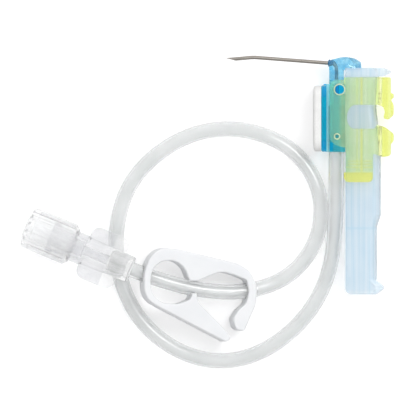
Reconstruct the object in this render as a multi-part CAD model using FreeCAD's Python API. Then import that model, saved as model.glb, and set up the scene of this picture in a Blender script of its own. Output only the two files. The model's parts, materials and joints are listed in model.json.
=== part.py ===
import FreeCAD, Part
import math
import os

# Safety huber needle set, laid on a flat surface, in millimetres.
# The pieces are built about the hinge of the safety guard: the origin is the middle of the
# hinge axis, X points away from the skin, Y towards the needle's hub, Z along the hinge pin.
# place_on_surface then puts the part's origin on the surface that it lies on.

# Needle: 20 gauge, one inch long outside its hub
NEEDLE_R = 0.45
NEEDLE_BORE_R = 0.30
NEEDLE_LENGTH = 25.4
NEEDLE_SLOPE = 4.4
NEEDLE_OFFSET = 6.25
NEEDLE_TIP_LENGTH = 7.0
NEEDLE_TIP_TURN = 9.4
NEEDLE_TIP_BEND_R = 9.0
NEEDLE_HUB_BEND_R = 1.3
NEEDLE_FOOT_Y = 2.4
BEVEL_LENGTH = 2.6

# Hub: a nose that is round about the hinge axis, on a short column
NOSE_R = 8.5
NOSE_HALF_WIDTH = 2.8
NOSE_CORNER_R = 2.6
NOSE_UNDERSIDE_Y = 4.78
NOSE_FRONT_X = 5.3
NOSE_SHOULDER_Y = 7.35
NOSE_FRONT_CORNER_R = 2.0
NOSE_CREST_X = 1.2
NOSE_CREST_Y = 8.1
NOSE_CREST_R = 6.0
NOSE_BACK_Y = 7.15
NOSE_BACK_CORNER_R = 0.9
HUB_BACK_X = -2.57
HUB_COLUMN_FRONT_X = 1.1
HUB_FOOT_Y = 1.35
COLUMN_CORNER_R = 1.1
EXIT_WELL_R = 0.95
EXIT_WELL_DEPTH = 1.2

# Winged base: skin plate, sleeve round the tube, hinge pins and rest nubs
WING_HALF_WIDTH = 7.0
WING_TOP_Y = 1.1
BASE_FOOT_Y = -15.3
WING_SKIN_X = -4.5
WING_THICKNESS = 1.2
WING_CORNER_R = 3.0
WING_EDGE_R = 0.5
SLEEVE_HALF_WIDTH = 2.8
SLEEVE_FRONT_X = 1.5
SLEEVE_CORNER_R = 1.5
PIN_R = 1.05
PIN_RADIAL_FIT = 0.05
REST_NUB_R = 0.6
REST_NUB_X = -0.6
REST_NUB_Y = -11.5
REST_NUB_GAP = 0.2

# Foam pad on the skin side of the wing plate
PAD_THICKNESS = 2.0
PAD_INSET = 0.15
PAD_EDGE_R = 0.7

# Sliding needle guard: a channel with a flat roof, a flared mouth and a flared foot
GUARD_WALL = 0.6
GUARD_EDGE_X = 1.4
GUARD_SIDE_GAP = 0.45
GUARD_NOSE_GAP = 0.35
GUARD_MOUTH_GAP = 0.75
GUARD_INNER_CORNER_R = 1.6
GUARD_DEEP_ROOF_X = 10.15
GUARD_WAIST_ROOF_X = 9.2
GUARD_FOOT_ROOF_X = 11.0
GUARD_SHALLOW_END_Y = -4.4
GUARD_DEEP_START_Y = -14.8
GUARD_DEEP_END_Y = -30.8
GUARD_WAIST_START_Y = -33.6
GUARD_FOOT_START_Y = -46.6
GUARD_FOOT_TIP_Y = -48.3
GUARD_FOOT_Y = -50.2
GUARD_FOOT_WALL = 0.9
GUARD_FOOT_CORNER_R = 1.6
MOUTH_BOTTOM_Y = 3.2
MOUTH_TOP_Y = 5.3
MOUTH_FRONT_X = 12.7
MOUTH_HALF_WIDTH = 5.1
RAIL_X = 2.0
RAIL_WIDTH = 0.8
RAIL_HEIGHT = 0.45
RAIL_END_Y = -46.0

# Swinging bracket that carries the guard
BRACKET_WALL = 0.9
BRACKET_GUARD_GAP = 0.2
BRACKET_ROOF_GAP = 0.3
BRACKET_TOP_Y = 3.0
BRACKET_EDGE_X = 1.1
BRACKET_SPINE_X = 12.6
BRACKET_BULGE_X = 13.35
BRACKET_CORNER_R = 2.0
EAR_R = 2.38
EAR_END_Y = -14.35
EAR_RISE = 1.15
EAR_CORNER_R = 3.2
NOTCH_TOP_Y = -3.75
NOTCH_BOTTOM_Y = -9.6
NOTCH_BACK_X = 1.85
NOTCH_ROUND_R = 2.6
SPINE_END_Y = -16.5
TAB_BACK_X = 1.55
TAB_FRONT_X = 8.2
TAB_END_Y = -22.7
TAB_LIP_Y = -20.3
TAB_LIP_HEIGHT = 0.5
TAB_RIBS = 3
TAB_RIB_FIRST_Y = -17.4
TAB_RIB_PITCH = 0.75
TAB_RIB_WIDTH = 0.3
TAB_RIB_HEIGHT = 0.2
RIDGE_X = 5.4
RIDGE_WIDTH = 0.7
RIDGE_HEIGHT = 0.15
GROOVE_CLEARANCE = 0.15
RING_R = 0.86
RING_HOLE_R = 0.37
RING_HEIGHT = 0.3
TONGUE_X = 3.0
TONGUE_WIDTH = 4.4
TONGUE_TOP_Y = -5.6

# Extension tube: 3.8 mm outside, lying on the surface
TUBE_R = 1.9
TUBE_BORE_R = 0.9
TUBE_FIT = 0.1
TUBE_AXIS_X = -0.75
TUBE_START_Y = -4.0
SURFACE_Z = -WING_HALF_WIDTH
TUBE_REST_Z = SURFACE_Z + TUBE_R
BORE_PASSAGE_R = 0.6

# The tube's route, from inside the base's sleeve to inside the luer connector
TUBE_ROUTE = [
    (TUBE_AXIS_X, TUBE_START_Y, 0.0),
    (TUBE_AXIS_X, -18.5, 0.0),
    (-0.9, -33.0, -2.6),
    (-2.3, -45.4, -4.8),
    (-8.0, -56.0, TUBE_REST_Z),
    (-18.0, -64.3, TUBE_REST_Z),
    (-28.8, -67.1, TUBE_REST_Z),
    (-39.3, -64.6, TUBE_REST_Z),
    (-48.4, -57.7, TUBE_REST_Z),
    (-53.9, -47.4, TUBE_REST_Z),
    (-55.2, -34.9, TUBE_REST_Z),
    (-51.8, -22.7, TUBE_REST_Z),
    (-42.8, -13.8, TUBE_REST_Z),
    (-31.7, -9.3, TUBE_REST_Z),
    (-20.0, -10.1, TUBE_REST_Z),
    (-9.8, -15.5, TUBE_REST_Z),
    (-4.2, -25.4, TUBE_REST_Z),
    (-4.9, -36.6, TUBE_REST_Z),
    (-11.4, -45.6, TUBE_REST_Z),
    (-21.4, -49.6, -3.9),
    (-33.0, -49.6, -1.1),
    (-46.4, -46.1, 1.5),
    (-56.5, -41.9, 0.35),
]
ARC_SHARE = 0.45

# Pinch clamp, open, moulded in one piece; its far end rides up on the tube
CLAMP_DEPTH = 6.2
CLAMP_TILT = 11.5
CLAMP_MIDDLE_X = -34.2
CLAMP_MIDDLE_Y = -49.1
CLAMP_EDGE_R = 0.35
# Corners of its outline as (x, y, radius) about the middle of its jaws
CLAMP_CORNERS = [
    (-15.4, -0.2, 5.0),
    (-15.4, 4.1, 6.0),
    (-14.1, 7.9, 6.0),
    (-11.4, 10.4, 5.0),
    (-7.0, 10.0, 8.0),
    (8.0, 6.5, 8.0),
    (11.1, 4.6, 5.0),
    (12.8, 0.8, 5.0),
    (12.6, -3.5, 6.0),
    (10.8, -7.4, 8.0),
    (9.6, -10.2, 0.9),
    (7.5, -9.6, 1.5),
    (6.8, -7.0, 1.6),
    (8.3, -4.8, 2.0),
    (10.1, -3.3, 2.5),
    (10.8, -0.5, 3.0),
    (10.3, 2.4, 1.2),
    (7.0, 3.7, 4.0),
    (3.8, 4.5, 4.0),
    (0.9, 3.4, 4.0),
    (-1.9, 2.2, 0.4),
    (-4.0, 2.2, 0.25),
    (-5.3, 5.5, 4.0),
    (-7.9, 7.3, 4.0),
    (-11.2, 7.0, 4.0),
    (-13.5, 4.9, 4.0),
    (-13.9, 1.6, 4.0),
    (-13.1, -1.5, 4.0),
    (-10.7, -3.2, 4.0),
    (-6.9, -3.5, 5.0),
    (-3.8, -2.3, 2.5),
    (-3.4, -0.8, 0.25),
    (-2.3, -0.8, 0.4),
    (-1.9, -3.0, 2.5),
    (0.3, -5.2, 4.0),
    (4.6, -9.4, 6.0),
    (6.4, -11.9, 1.4),
    (5.1, -12.8, 0.9),
    (-11.7, -4.2, 5.0),
    (-14.3, -2.7, 5.0),
]

# Luer connector, measured along its own axis from the end that holds the tube
LUER_LENGTH = 21.5
LUER_SOCKET_DEPTH = 6.0
LUER_TUBE_END_R = 3.25
LUER_BARREL_R = 3.8
LUER_BARREL_END = 15.9
LUER_NECK_R = 3.2
LUER_LUG_R = 3.9
LUER_LUG_LENGTH = 1.6
LUER_LUG_WIDTH = 3.4
LUER_MOUTH_R = 2.15
LUER_CONE_DEPTH = 8.5
LUER_TAPER = 0.03
LUER_WING_START = 2.7
LUER_WING_LENGTH = 9.8
LUER_WING_HALF_SPAN = 6.7
LUER_WING_THICKNESS = 1.6
LUER_WING_CORNER_R = 2.2

# Luer cap with its plug
CAP_START = 15.5
CAP_LENGTH = 12.4
CAP_R = 5.0
CAP_WALL = 0.9
CAP_END_WALL = 2.0
CAP_END_CORNER_R = 1.1
CAP_RIM_CORNER_R = 0.8
CAP_RIBS = 16
CAP_RIB_WIDTH = 0.8
CAP_RIB_HEIGHT = 0.22
CAP_PLUG_REACH = 6.5
CAP_PLUG_GAP = 0.08
CAP_PLUG_BORE_R = 0.9

BIG = 60.0


def vector(x, y, z=0.0):
    return FreeCAD.Vector(x, y, z)


def box(x0, x1, y0, y1, z0, z1):
    return Part.makeBox(x1 - x0, y1 - y0, z1 - z0, vector(x0, y0, z0))


def both_sides(shape):
    """The shape and its mirror image across the middle plane."""
    return [shape, shape.mirror(vector(0, 0, 0), vector(0, 0, 1))]


def pin(x, y, z0, z1, radius):
    return Part.makeCylinder(radius, z1 - z0, vector(x, y, z0), vector(0, 0, 1))


def turn_edges(before, corner, after, setback, radius):
    """Ends and middle of the arc that rounds a corner of a path."""
    back = (before - corner).normalize()
    ahead = (after - corner).normalize()
    half_open = back.getAngle(ahead) / 2
    middle = (back + ahead).normalize() * (radius / math.sin(half_open) - radius)
    return corner + back * setback, corner + middle, corner + ahead * setback


def outline(corners):
    """A flat face in XY from corners (x, y, radius); an arc takes at most half of a side."""
    points = [vector(x, y) for x, y, radius in corners]
    count = len(points)
    arcs = []
    for i, (x, y, radius) in enumerate(corners):
        before, corner, after = points[i - 1], points[i], points[(i + 1) % count]
        half_open = (before - corner).getAngle(after - corner) / 2
        room = 0.499 * min(before.distanceToPoint(corner), after.distanceToPoint(corner))
        radius = min(radius, room * math.tan(half_open))
        setback = radius / math.tan(half_open)
        if radius > 0:
            arcs.append(turn_edges(before, corner, after, setback, radius))
        else:
            arcs.append((corner, None, corner))
    edges = []
    for i, (start, middle, end) in enumerate(arcs):
        if middle:
            edges.append(Part.Arc(start, middle, end).toShape())
        edges.append(Part.LineSegment(end, arcs[(i + 1) % count][0]).toShape())
    return Part.Face(Part.Wire(edges))


def across(face, z0, z1):
    """An XY face extruded along Z."""
    moved = face.copy()
    moved.translate(vector(0, 0, z0))
    return moved.extrude(vector(0, 0, z1 - z0))


def along_y(face, y0, y1):
    """A face drawn in XY as seen from the needle's side, with its Y across the part, run along Y."""
    section = face.copy()
    section.rotate(vector(0, 0, 0), vector(1, 0, 0), 90)
    section.translate(vector(0, y0, 0))
    return section.extrude(vector(0, y1 - y0, 0))


def path_of_arcs(points, radii):
    """Straight runs joined by tangent arcs, one radius for each inner point."""
    edges = []
    start = points[0]
    for before, corner, after, radius in zip(points, points[1:], points[2:], radii):
        half_open = (before - corner).getAngle(after - corner) / 2
        setback = radius / math.tan(half_open)
        arc_start, middle, arc_end = turn_edges(before, corner, after, setback, radius)
        edges.append(Part.LineSegment(start, arc_start).toShape())
        edges.append(Part.Arc(arc_start, middle, arc_end).toShape())
        start = arc_end
    edges.append(Part.LineSegment(start, points[-1]).toShape())
    return Part.Wire(edges)


def rod_along(path, points, radius):
    ring = Part.Wire(Part.makeCircle(radius, points[0], points[1] - points[0]))
    return path.makePipeShell([ring], True, True)


def needle_point(out, lift):
    """A point given along the needle's line and off it, measured from the hinge axis."""
    slope = math.radians(NEEDLE_SLOPE)
    x = -out * math.cos(slope) + lift * math.sin(slope)
    y = out * math.sin(slope) + lift * math.cos(slope)
    return vector(x, y)


def needle_points():
    """From the foot in the hub's column, round the hub's bend, to the middle of the tip."""
    slope = math.radians(NEEDLE_SLOPE)
    elbow_out = (NEEDLE_OFFSET * math.sin(slope) - TUBE_AXIS_X) / math.cos(slope)
    exit_out = (NEEDLE_OFFSET * math.sin(slope) - HUB_BACK_X) / math.cos(slope)
    turn = math.radians(NEEDLE_TIP_TURN)
    bend_out = exit_out + NEEDLE_LENGTH - NEEDLE_TIP_LENGTH * math.cos(turn)
    tip_out = bend_out + NEEDLE_TIP_LENGTH * math.cos(turn)
    tip_lift = NEEDLE_OFFSET - NEEDLE_TIP_LENGTH * math.sin(turn)
    return [
        vector(TUBE_AXIS_X, NEEDLE_FOOT_Y),
        needle_point(elbow_out, NEEDLE_OFFSET),
        needle_point(bend_out, NEEDLE_OFFSET),
        needle_point(tip_out, tip_lift),
    ]


def cannula():
    """Thin steel tube whose end curves off its line and is ground to a side facing bevel."""
    points = needle_points()
    path = path_of_arcs(points, [NEEDLE_HUB_BEND_R, NEEDLE_TIP_BEND_R])
    tube = rod_along(path, points, NEEDLE_R).cut(rod_along(path, points, NEEDLE_BORE_R))
    out = (points[-1] - points[-2]).normalize()
    upper = vector(out.y, -out.x)
    slant = math.atan2(2 * NEEDLE_R, BEVEL_LENGTH)
    along = out * math.cos(slant) + upper * math.sin(slant)
    off = out * math.sin(slant) - upper * math.cos(slant)
    point = points[-1] + upper * NEEDLE_R
    start, end = point + along, point - along * (BEVEL_LENGTH + 1)
    wedge = Part.makePolygon([start, end, end + off * 2, start + off * 2, start])
    grinding = across(Part.Face(wedge), -NEEDLE_R * 2, NEEDLE_R * 2)
    return tube.cut(grinding)


def channel(half_width, roof_x, open_x, corner_r):
    """Section of a channel with a flat roof between round corners, open towards the skin."""
    return outline([
        (open_x, -half_width, 0),
        (roof_x, -half_width, corner_r),
        (roof_x, half_width, corner_r),
        (open_x, half_width, 0),
    ])


def needle_hub():
    """Nose turned about the hinge axis, with a flat underside, on a rounded column."""
    profile = channel(NOSE_HALF_WIDTH, NOSE_R, 0, NOSE_CORNER_R)
    profile.rotate(vector(0, 0, 0), vector(1, 0, 0), 90)
    nose = profile.revolve(vector(0, 0, 0), vector(0, 0, 1), 180)
    side = outline([
        (HUB_BACK_X, NOSE_UNDERSIDE_Y, 0),
        (NOSE_FRONT_X, NOSE_UNDERSIDE_Y, 0.4),
        (NOSE_FRONT_X, NOSE_SHOULDER_Y, NOSE_FRONT_CORNER_R),
        (NOSE_CREST_X, NOSE_CREST_Y, NOSE_CREST_R),
        (HUB_BACK_X, NOSE_BACK_Y, NOSE_BACK_CORNER_R),
    ])
    nose = nose.common(across(side, -NOSE_HALF_WIDTH, NOSE_HALF_WIDTH))
    column = along_y(outline([
        (HUB_BACK_X, -NOSE_HALF_WIDTH, COLUMN_CORNER_R),
        (HUB_COLUMN_FRONT_X, -NOSE_HALF_WIDTH, COLUMN_CORNER_R),
        (HUB_COLUMN_FRONT_X, NOSE_HALF_WIDTH, COLUMN_CORNER_R),
        (HUB_BACK_X, NOSE_HALF_WIDTH, COLUMN_CORNER_R),
    ]), HUB_FOOT_Y, NOSE_UNDERSIDE_Y + 0.5)
    points = needle_points()
    path = path_of_arcs(points, [NEEDLE_HUB_BEND_R, NEEDLE_TIP_BEND_R])
    seat = rod_along(path, points, NEEDLE_R + 0.01)
    drain = Part.makeCylinder(NEEDLE_R + 0.01, NEEDLE_FOOT_Y - HUB_FOOT_Y,
                              vector(TUBE_AXIS_X, HUB_FOOT_Y, 0), vector(0, 1, 0))
    slope = math.radians(NEEDLE_SLOPE)
    out_at_face = (NEEDLE_OFFSET * math.sin(slope) - HUB_BACK_X) / math.cos(slope)
    well = Part.makeCone(NEEDLE_R, EXIT_WELL_R, EXIT_WELL_DEPTH,
                         needle_point(out_at_face - EXIT_WELL_DEPTH, NEEDLE_OFFSET),
                         needle_point(1, 0))
    return nose.fuse(column).cut(seat).cut(drain).cut(well).removeSplitter()


def wing_outline(inset):
    """The skin plate's outline, drawn with Y along the part and X across it."""
    half = WING_HALF_WIDTH - inset
    corner = WING_CORNER_R - inset
    return outline([
        (-half, BASE_FOOT_Y + inset, corner),
        (half, BASE_FOOT_Y + inset, corner),
        (half, WING_TOP_Y - inset, corner),
        (-half, WING_TOP_Y - inset, corner),
    ])


def skin_plate(inset, skin_x, thickness, edge_r):
    """A plate square to X with its skin side at skin_x and rounded edges on that side."""
    plate = wing_outline(inset).extrude(vector(0, 0, thickness))
    skin_edges = [e for e in plate.Edges if e.BoundBox.ZMax < 0.01]
    plate = plate.makeFillet(edge_r, skin_edges)
    plate.rotate(vector(0, 0, 0), vector(0, 1, 0), 90)
    plate.translate(vector(skin_x, 0, 0))
    return plate


def winged_base(tube_room):
    """Skin plate, sleeve round the tube, hinge pins and the nubs under the bracket's rings."""
    plate = skin_plate(0, WING_SKIN_X, WING_THICKNESS, WING_EDGE_R)
    back_x = WING_SKIN_X + WING_THICKNESS / 2
    sleeve = along_y(outline([
        (back_x, -SLEEVE_HALF_WIDTH, 0),
        (SLEEVE_FRONT_X, -SLEEVE_HALF_WIDTH, SLEEVE_CORNER_R),
        (SLEEVE_FRONT_X, SLEEVE_HALF_WIDTH, SLEEVE_CORNER_R),
        (back_x, SLEEVE_HALF_WIDTH, 0),
    ]), BASE_FOOT_Y, HUB_FOOT_Y)
    ear_outer = guard_half_width() + BRACKET_GUARD_GAP + BRACKET_WALL
    nub_end = guard_half_width() + BRACKET_GUARD_GAP - REST_NUB_GAP
    nub_stem = pin(REST_NUB_X, REST_NUB_Y, 0, nub_end - REST_NUB_R / 2, REST_NUB_R)
    nub_head = Part.makeCone(REST_NUB_R, REST_NUB_R / 2, REST_NUB_R / 2,
                             vector(REST_NUB_X, REST_NUB_Y, nub_end - REST_NUB_R / 2), vector(0, 0, 1))
    solids = [sleeve]
    solids += both_sides(pin(0, 0, 0, ear_outer, PIN_R))
    solids += both_sides(nub_stem.fuse(nub_head))
    passage = Part.makeCylinder(BORE_PASSAGE_R, HUB_FOOT_Y - TUBE_START_Y + 1,
                                vector(TUBE_AXIS_X, TUBE_START_Y - 1, 0), vector(0, 1, 0))
    return plate.multiFuse(solids).cut(tube_room).cut(passage).removeSplitter()


def foam_pad():
    return skin_plate(PAD_INSET, WING_SKIN_X - PAD_THICKNESS, PAD_THICKNESS, PAD_EDGE_R)


def guard_inner_half_width():
    return NOSE_HALF_WIDTH + GUARD_SIDE_GAP


def guard_half_width():
    return guard_inner_half_width() + GUARD_WALL


def guard_corner_r():
    return GUARD_INNER_CORNER_R + GUARD_WALL


def guard_shallow_roof_x():
    """Where the roof just clears the nose's crest as the guard slides over it."""
    return NOSE_CREST_Y + GUARD_NOSE_GAP + GUARD_WALL


def guard_mouth_roof_x():
    """Where the roof clears the nose's widest reach as the guard swings."""
    return NOSE_R + GUARD_MOUTH_GAP + GUARD_WALL


def guard_loft(stations, half_width, open_x, corner_r):
    """A channel shape whose roof height changes along Y; stations are (y, roof x)."""
    sections = []
    for y, roof_x in stations:
        section = channel(half_width, roof_x, open_x, corner_r).OuterWire
        section.rotate(vector(0, 0, 0), vector(1, 0, 0), 90)
        section.translate(vector(0, y, 0))
        sections.append(section)
    return Part.makeLoft(sections, True, True)


def needle_guard():
    """Channel that covers the needle, with a push flange at its mouth and a flared foot."""
    outer = guard_loft([
        (MOUTH_TOP_Y, guard_mouth_roof_x()),
        (GUARD_SHALLOW_END_Y, guard_shallow_roof_x()),
        (GUARD_DEEP_START_Y, GUARD_DEEP_ROOF_X),
        (GUARD_DEEP_END_Y, GUARD_DEEP_ROOF_X),
        (GUARD_WAIST_START_Y, GUARD_WAIST_ROOF_X),
        (GUARD_FOOT_START_Y, GUARD_WAIST_ROOF_X),
        (GUARD_FOOT_TIP_Y, GUARD_FOOT_ROOF_X),
        (GUARD_FOOT_Y + 1.2, GUARD_FOOT_ROOF_X - 0.2),
        (GUARD_FOOT_Y, GUARD_WAIST_ROOF_X),
    ], guard_half_width(), GUARD_EDGE_X, guard_corner_r())
    hollow = guard_loft([
        (MOUTH_TOP_Y, guard_mouth_roof_x() - GUARD_WALL),
        (GUARD_SHALLOW_END_Y, guard_shallow_roof_x() - GUARD_WALL),
        (GUARD_DEEP_START_Y, GUARD_DEEP_ROOF_X - GUARD_WALL),
        (GUARD_DEEP_END_Y, GUARD_DEEP_ROOF_X - GUARD_WALL),
        (GUARD_WAIST_START_Y, GUARD_WAIST_ROOF_X - GUARD_WALL),
        (GUARD_FOOT_Y + GUARD_FOOT_WALL, GUARD_WAIST_ROOF_X - GUARD_WALL),
    ], guard_inner_half_width(), GUARD_EDGE_X - 1, GUARD_INNER_CORNER_R)
    flange = along_y(outline([
        (GUARD_EDGE_X, -MOUTH_HALF_WIDTH, 0.6),
        (MOUTH_FRONT_X, -MOUTH_HALF_WIDTH, 3.6),
        (MOUTH_FRONT_X, MOUTH_HALF_WIDTH, 3.6),
        (GUARD_EDGE_X, MOUTH_HALF_WIDTH, 0.6),
    ]), MOUTH_BOTTOM_Y, MOUTH_TOP_Y)
    lens = outline([
        (GUARD_EDGE_X, MOUTH_BOTTOM_Y, 0.3),
        (MOUTH_FRONT_X - 1.9, MOUTH_BOTTOM_Y, 1.0),
        (MOUTH_FRONT_X, MOUTH_BOTTOM_Y + 0.9, 0.3),
        (MOUTH_FRONT_X, MOUTH_TOP_Y - 0.7, 0.3),
        (MOUTH_FRONT_X - 1.9, MOUTH_TOP_Y, 1.0),
        (GUARD_EDGE_X, MOUTH_TOP_Y, 0.5),
    ])
    flange = flange.common(across(lens, -MOUTH_HALF_WIDTH, MOUTH_HALF_WIDTH))
    side = guard_half_width()
    rail = box(RAIL_X, RAIL_X + RAIL_WIDTH, RAIL_END_Y, MOUTH_BOTTOM_Y,
               side - GUARD_WALL / 2, side + RAIL_HEIGHT)
    body = outer.multiFuse([flange] + both_sides(rail)).cut(hollow)
    foot = outline([
        (GUARD_EDGE_X, GUARD_FOOT_Y, GUARD_FOOT_CORNER_R),
        (BIG, GUARD_FOOT_Y, 0),
        (BIG, BIG, 0),
        (GUARD_EDGE_X, BIG, 0),
    ])
    return body.common(across(foot, -BIG, BIG)).removeSplitter()


def bracket_side():
    """The bracket seen along the hinge pin: ear, hooked spine, notch and squeeze tab."""
    return outline([
        (BRACKET_EDGE_X, BRACKET_TOP_Y, 0.2),
        (BRACKET_SPINE_X, BRACKET_TOP_Y, 0.4),
        (BRACKET_SPINE_X, -0.8, 0.3),
        (BRACKET_BULGE_X, -1.2, 0.3),
        (BRACKET_BULGE_X, -2.0, 0.3),
        (BRACKET_SPINE_X, -2.5, 0.4),
        (BRACKET_BULGE_X, -3.9, 1.2),
        (BRACKET_BULGE_X, -6.2, 1.4),
        (12.0, -7.4, 0.8),
        (10.7, -7.1, 0.5),
        (11.1, -5.4, 1.0),
        (10.7, -4.3, 0.7),
        (9.4, NOTCH_TOP_Y, 0.8),
        (3.0, NOTCH_TOP_Y, NOTCH_ROUND_R),
        (NOTCH_BACK_X, -5.7, NOTCH_ROUND_R),
        (NOTCH_BACK_X, -7.9, NOTCH_ROUND_R),
        (2.8, NOTCH_BOTTOM_Y, NOTCH_ROUND_R),
        (8.7, NOTCH_BOTTOM_Y, 0.4),
        (9.1, -8.5, 0.3),
        (11.3, -9.3, 1.5),
        (BRACKET_BULGE_X, -10.9, 1.2),
        (BRACKET_BULGE_X, -12.5, 0.8),
        (BRACKET_SPINE_X, -13.4, 0.5),
        (BRACKET_SPINE_X, SPINE_END_Y + 0.2, 0.9),
        (10.5, SPINE_END_Y, 0.8),
        (TAB_FRONT_X, -15.6, 0.4),
        (TAB_FRONT_X, TAB_END_Y, 1.6),
        (TAB_BACK_X, TAB_END_Y, 1.6),
        (TAB_BACK_X, EAR_END_Y, 0.4),
        (-EAR_R, EAR_END_Y + EAR_RISE, EAR_CORNER_R),
        (-EAR_R, EAR_R, EAR_R),
        (BRACKET_EDGE_X, EAR_R, 0),
    ])


def guard_bracket():
    """Saddle with a flat roof that hinges on the base and lets the guard slide through."""
    inner = guard_half_width() + BRACKET_GUARD_GAP
    half = inner + BRACKET_WALL
    saddle = along_y(outline([
        (-BIG, -half, 0),
        (BRACKET_BULGE_X, -half, BRACKET_CORNER_R),
        (BRACKET_BULGE_X, half, BRACKET_CORNER_R),
        (-BIG, half, 0),
    ]), -BIG, BIG)
    ridge = box(RIDGE_X, RIDGE_X + RIDGE_WIDTH, SPINE_END_Y, BIG, inner, half + RIDGE_HEIGHT)
    saddle = saddle.multiFuse(both_sides(ridge))
    body = saddle.common(across(bracket_side(), -BIG, BIG))
    additions = [box(TONGUE_X, TONGUE_X + TONGUE_WIDTH, NOTCH_BOTTOM_Y - 1, TONGUE_TOP_Y, -half, -inner)]
    lip = across(outline([
        (BRACKET_EDGE_X, TAB_LIP_Y, 0.2),
        (TAB_FRONT_X, TAB_LIP_Y, 0.8),
        (TAB_FRONT_X, TAB_END_Y, 1.6),
        (BRACKET_EDGE_X, TAB_END_Y, 1.6),
    ]), inner, half + TAB_LIP_HEIGHT)
    additions += both_sides(lip)
    for i in range(TAB_RIBS):
        y = TAB_RIB_FIRST_Y - i * TAB_RIB_PITCH
        rib = box(BRACKET_EDGE_X + 1.7, TAB_FRONT_X - 1.0, y - TAB_RIB_WIDTH, y, inner, half + TAB_RIB_HEIGHT)
        additions += both_sides(rib)
    additions += both_sides(pin(REST_NUB_X, REST_NUB_Y, inner, half + RING_HEIGHT, RING_R))
    body = body.multiFuse(additions)
    roof_x = max(GUARD_DEEP_ROOF_X, guard_mouth_roof_x()) + BRACKET_ROOF_GAP
    room = channel(inner, roof_x, -BIG, guard_corner_r() + BRACKET_GUARD_GAP)
    cuts = [along_y(room, -BIG, BIG)]
    groove = box(RAIL_X - GROOVE_CLEARANCE, RAIL_X + RAIL_WIDTH + GROOVE_CLEARANCE, -BIG, BIG,
                 0, guard_half_width() + RAIL_HEIGHT + GROOVE_CLEARANCE)
    cuts += both_sides(groove)
    cuts += both_sides(pin(0, 0, 0, half + 1, PIN_R + PIN_RADIAL_FIT))
    cuts += both_sides(pin(REST_NUB_X, REST_NUB_Y, 0, half + 1, RING_HOLE_R))
    return body.cut(cuts).removeSplitter()


def route_points():
    return [vector(x, y, z) for x, y, z in TUBE_ROUTE]


def route_radii(points):
    """The largest arc that the two runs at each point leave room for."""
    radii = []
    for before, corner, after in zip(points, points[1:], points[2:]):
        half_open = (before - corner).getAngle(after - corner) / 2
        shorter = min(before.distanceToPoint(corner), after.distanceToPoint(corner))
        radii.append(ARC_SHARE * shorter * math.tan(half_open))
    return radii


def pinch_clamp(tube_room):
    """One bent strip whose two end bars have holes for the tube and whose jaws face each other."""
    strip = outline(CLAMP_CORNERS).extrude(vector(0, 0, CLAMP_DEPTH))
    strip = strip.makeFillet(CLAMP_EDGE_R, [e for e in strip.Edges if e.BoundBox.ZLength < 0.01])
    low_end_x = strip.BoundBox.XMax
    strip.rotate(vector(low_end_x, 0, 0), vector(0, 1, 0), CLAMP_TILT)
    strip.translate(vector(CLAMP_MIDDLE_X, CLAMP_MIDDLE_Y, SURFACE_Z))
    return strip.cut(tube_room)


def turned(profile_points):
    """A solid turned about the luer's own axis from (along, radius) points."""
    points = [vector(along, radius) for along, radius in profile_points]
    return Part.Face(Part.makePolygon(points + points[:1])).revolve(vector(0, 0, 0), vector(1, 0, 0), 360)


def place_on_tube_end(shape):
    """Moves a luer piece from its own axis to the tube's last run."""
    points = route_points()
    way = (points[-1] - points[-2]).normalize()
    shape.rotate(vector(0, 0, 0), vector(0, 1, 0), -math.degrees(math.asin(way.z)))
    shape.rotate(vector(0, 0, 0), vector(0, 0, 1), math.degrees(math.atan2(way.y, way.x)))
    shape.translate(points[-1] - way * LUER_SOCKET_DEPTH)
    return shape


def luer_cone_r(along):
    """Radius of the tapered bore at a distance along the connector."""
    return LUER_MOUTH_R - LUER_TAPER * (LUER_LENGTH - along)


def luer_connector(tube_room):
    """Winged female luer lock: tube socket, tapered bore and two lock lugs."""
    lug_start = LUER_LENGTH - LUER_LUG_LENGTH
    body = turned([
        (0, 0), (0, LUER_TUBE_END_R - 0.3), (0.3, LUER_TUBE_END_R),
        (LUER_BARREL_END - 3.6, LUER_BARREL_R - 0.2), (LUER_BARREL_END - 3.2, LUER_BARREL_R),
        (LUER_BARREL_END, LUER_BARREL_R), (LUER_BARREL_END, LUER_NECK_R),
        (LUER_LENGTH, LUER_NECK_R), (LUER_LENGTH, 0),
    ])
    lug = turned([
        (lug_start - 0.6, 0), (lug_start, LUER_LUG_R), (LUER_LENGTH, LUER_LUG_R), (LUER_LENGTH, 0),
    ])
    lug = lug.common(box(0, LUER_LENGTH, -LUER_LUG_R, LUER_LUG_R, -LUER_LUG_WIDTH / 2, LUER_LUG_WIDTH / 2))
    wing_end = LUER_WING_START + LUER_WING_LENGTH
    wing = across(outline([
        (LUER_WING_START, -LUER_WING_HALF_SPAN, LUER_WING_CORNER_R),
        (wing_end, -LUER_WING_HALF_SPAN, LUER_WING_CORNER_R),
        (wing_end, LUER_WING_HALF_SPAN, LUER_WING_CORNER_R),
        (LUER_WING_START, LUER_WING_HALF_SPAN, LUER_WING_CORNER_R),
    ]), -LUER_WING_THICKNESS / 2, LUER_WING_THICKNESS / 2)
    cone_start = LUER_LENGTH - LUER_CONE_DEPTH
    bore = turned([
        (0, 0), (0, TUBE_BORE_R), (cone_start, TUBE_BORE_R), (cone_start, luer_cone_r(cone_start)),
        (LUER_LENGTH, LUER_MOUTH_R), (LUER_LENGTH, 0),
    ])
    body = body.multiFuse([lug, wing]).cut(bore)
    return place_on_tube_end(body).cut(tube_room).removeSplitter()


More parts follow.
